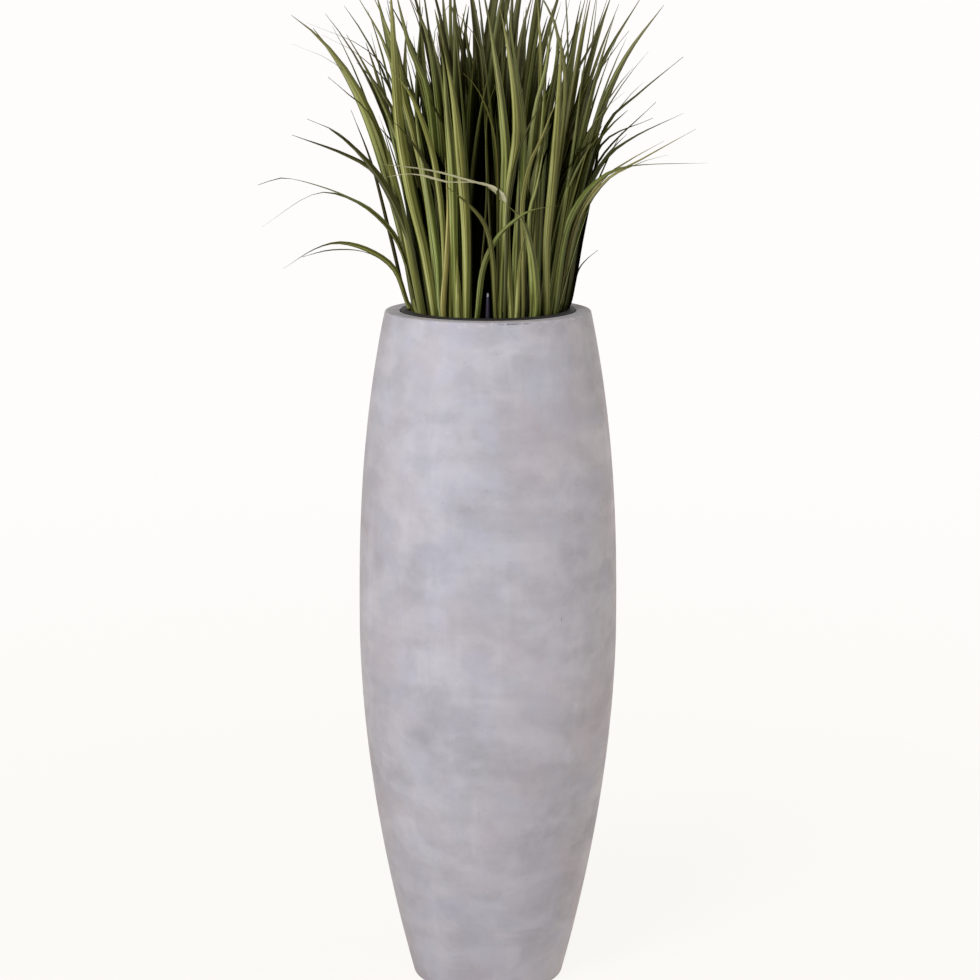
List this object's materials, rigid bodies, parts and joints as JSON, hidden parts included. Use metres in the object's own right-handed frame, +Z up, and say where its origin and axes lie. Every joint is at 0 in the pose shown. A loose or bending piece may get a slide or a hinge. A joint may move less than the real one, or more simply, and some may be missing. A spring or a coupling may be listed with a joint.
{
  "type": "planter",
  "caption": "Tall barrel-shaped fiberglass floor planter with a flat in-turned lip, a lift-out plastic insert and a bush of artificial grass.",
  "frame": {"origin": "centre of the face that the planter stands on", "axes": "+Z up along the planter's axis; -Y is the side that faced the camera, +X is its right"},
  "size_m": [0.6552, 0.6552, 1.5361],
  "materials": {
    "stone_grey_fiberglass": "matte",
    "raw_fiberglass": "matte",
    "black_rubber": "matte",
    "dark_plastic": "satin",
    "dry_foam": "matte",
    "bark": "matte",
    "plum_plastic": "satin",
    "outer_grass": "satin",
    "inner_grass": "satin"
  },
  "bodies": {
    "planter": {"planter_shell": "stone_grey_fiberglass", "bottom_panel": "raw_fiberglass"},
    "bung": {"drain_bung": "black_rubber"},
    "insert": {"insert_pot": "dark_plastic"},
    "bush": {"foam_block": "dry_foam", "bark_layer": "bark", "anchor_stake": "plum_plastic", "outer_grass_bunch_1": "outer_grass", "outer_grass_bunch_2": "outer_grass", "outer_grass_bunch_3": "outer_grass", "outer_grass_bunch_4": "outer_grass", "outer_grass_bunch_5": "outer_grass", "outer_grass_bunch_6": "outer_grass", "outer_grass_bunch_7": "outer_grass", "outer_grass_bunch_8": "outer_grass", "inner_grass_bunch_1": "inner_grass", "inner_grass_bunch_2": "inner_grass", "inner_grass_bunch_3": "inner_grass", "inner_grass_bunch_4": "inner_grass"}
  },
  "joints": [
    {"name": "insert_lift", "type": "slide", "parent": "planter", "child": "insert", "axis": [0, 0, 1], "range_m": [0, 0.3]},
    {"name": "bush_lift", "type": "slide", "parent": "insert", "child": "bush", "axis": [0, 0, 1], "range_m": [0, 0.25]},
    {"name": "bung_push_out", "type": "slide", "parent": "planter", "child": "bung", "axis": [0, 0, 1], "range_m": [0, 0.06]}
  ]
}
